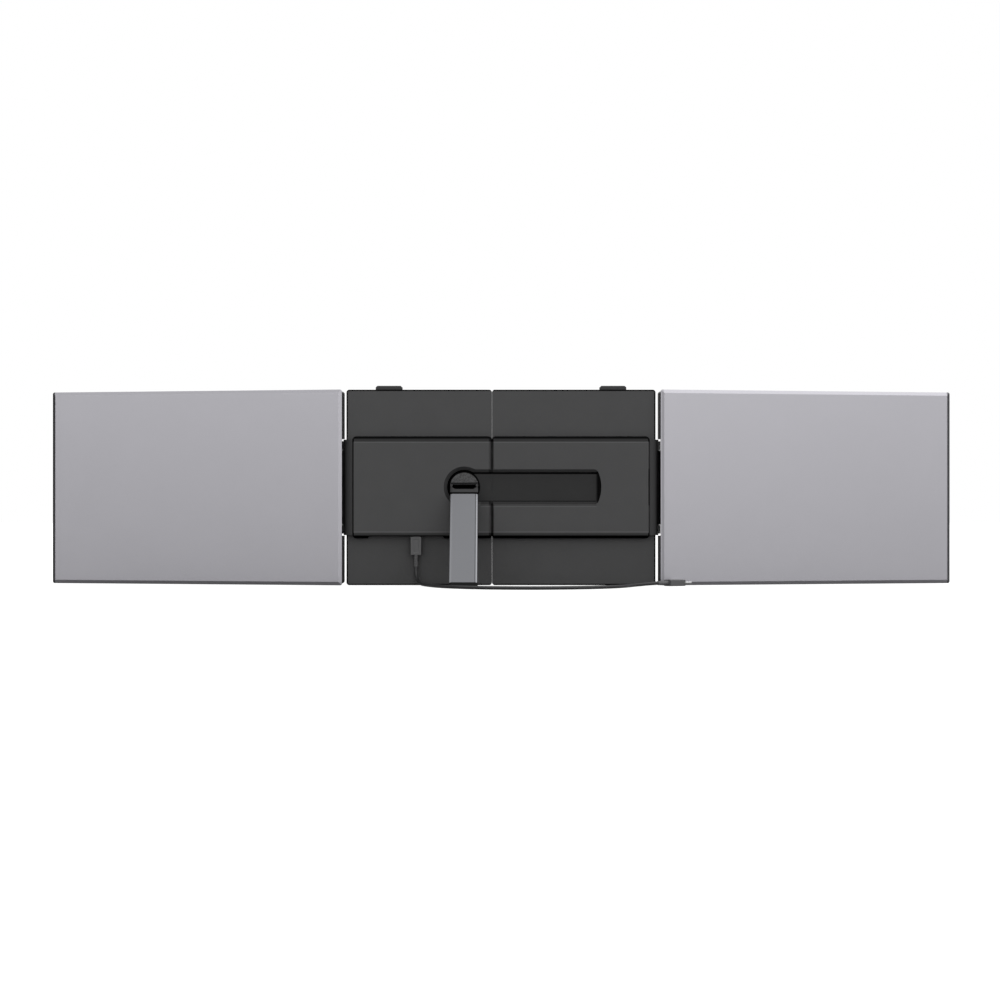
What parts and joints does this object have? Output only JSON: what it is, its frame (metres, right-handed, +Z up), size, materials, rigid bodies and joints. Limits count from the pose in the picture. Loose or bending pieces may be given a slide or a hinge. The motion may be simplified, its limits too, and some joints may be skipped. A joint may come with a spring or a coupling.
{
  "type": "laptop screen extender",
  "caption": "Telescopic frame that hooks over a laptop lid, with a hinged screen at each end, a swivelling kickstand and a lead plugged into its hub.",
  "frame": {"origin": "on the desk under the middle of the frame, in the plane of the hub's rear face", "axes": "+X along the frame, to the right seen from behind; +Y towards the user, out of the frame plates' front; +Z up"},
  "size_m": [0.9508, 0.2403, 0.2061],
  "materials": {
    "frame_plastic": "fine matt texture, dark grey",
    "hub_plastic": "fine matt texture, dark grey",
    "hinge_cover_plastic": "satin black",
    "hinge_steel": "blackened",
    "pin_steel": "ground",
    "rail_steel": "satin",
    "screw_steel": "satin",
    "connector_steel": "nickel plated",
    "hook_plastic": "matt black",
    "guide_plastic": "plain",
    "block_plastic": "matt",
    "bezel_plastic": "matt black",
    "plug_plastic": "matt moulded",
    "board": "solder mask green",
    "display_module": "metal backed display module",
    "pad_rubber": "soft",
    "foot_rubber": "soft",
    "lead_rubber": "smooth jacket",
    "shell_aluminium": "fine blasted and anodised, light grey",
    "leg_aluminium": "satin anodised",
    "screen_glass": "polished, black behind"
  },
  "bodies": {
    "left_frame": {"left_plate": "frame_plastic", "left_hub_cover": "hub_plastic", "left_hinge_cover": "hinge_cover_plastic", "left_hinge_bracket": "hinge_steel", "left_hinge_pin": "pin_steel", "left_lid_hook": "hook_plastic", "left_hook_pad": "pad_rubber", "left_lid_pads": "pad_rubber", "left_hub_screws": "screw_steel", "driver_board": "board", "usb_sockets": "connector_steel", "slide_rails": "rail_steel", "lead_plug": "plug_plastic", "lead_plug_tip": "connector_steel", "lead_relief": "lead_rubber", "lead": "lead_rubber", "end_relief": "lead_rubber", "end_plug": "plug_plastic", "end_plug_tip": "connector_steel"},
    "right_frame": {"right_plate": "frame_plastic", "right_hub_cover": "hub_plastic", "right_hinge_cover": "hinge_cover_plastic", "right_hinge_bracket": "hinge_steel", "right_hinge_pin": "pin_steel", "right_lid_hook": "hook_plastic", "right_hook_pad": "pad_rubber", "right_lid_pads": "pad_rubber", "right_hub_screws": "screw_steel", "rail_guides": "guide_plastic"},
    "left_screen": {"left_back_shell": "shell_aluminium", "left_screen_frame": "bezel_plastic", "left_front_glass": "screen_glass", "left_display": "display_module", "left_screen_hinge": "hinge_steel", "left_screen_board": "board", "left_hinge_screws": "screw_steel"},
    "right_screen": {"right_back_shell": "shell_aluminium", "right_screen_frame": "bezel_plastic", "right_front_glass": "screen_glass", "right_display": "display_module", "right_screen_hinge": "hinge_steel", "right_screen_board": "board", "right_hinge_screws": "screw_steel"},
    "stand_head": {"swivel_head": "hub_plastic", "swivel_washer": "rail_steel"},
    "stand_leg": {"stand_hinge_pin": "pin_steel", "stand_block": "block_plastic", "stand_leg": "leg_aluminium", "stand_foot": "foot_rubber"},
    "left_menu_key": {"left_menu_button": "bezel_plastic"},
    "right_menu_key": {"right_menu_button": "bezel_plastic"}
  },
  "joints": [
    {"name": "frame_slide", "type": "slide", "parent": "left_frame", "child": "right_frame", "axis": [1, 0, 0], "range_m": [0, 0.06]},
    {"name": "left_screen_hinge", "type": "hinge", "parent": "left_frame", "child": "left_screen", "pos_m": [-0.1626, 0.0131, 0.101], "axis": [0, 0, -1], "range_deg": [-14.9, 165.1]},
    {"name": "right_screen_hinge", "type": "hinge", "parent": "right_frame", "child": "right_screen", "pos_m": [0.1626, 0.0184, 0.101], "axis": [0, 0, 1], "range_deg": [-14.9, 165.1]},
    {"name": "stand_swivel", "type": "hinge", "parent": "left_frame", "child": "stand_head", "pos_m": [-0.0379, 0.003, 0.1014], "axis": [0, -1, 0], "range_deg": [0, 90]},
    {"name": "stand_tilt", "type": "hinge", "parent": "stand_head", "child": "stand_leg", "pos_m": [-0.0379, 0.003, 0.1032], "axis": [-1, 0, 0], "range_deg": [-21.5, 20]},
    {"name": "left_menu_press", "type": "slide", "parent": "left_screen", "child": "left_menu_key", "axis": [0.9664, -0.2571, 0], "range_m": [0, 0.0005], "stiffness_N_per_m": 3500},
    {"name": "right_menu_press", "type": "slide", "parent": "right_screen", "child": "right_menu_key", "axis": [-0.9664, -0.2571, 0], "range_m": [0, 0.0005], "stiffness_N_per_m": 3500}
  ]
}
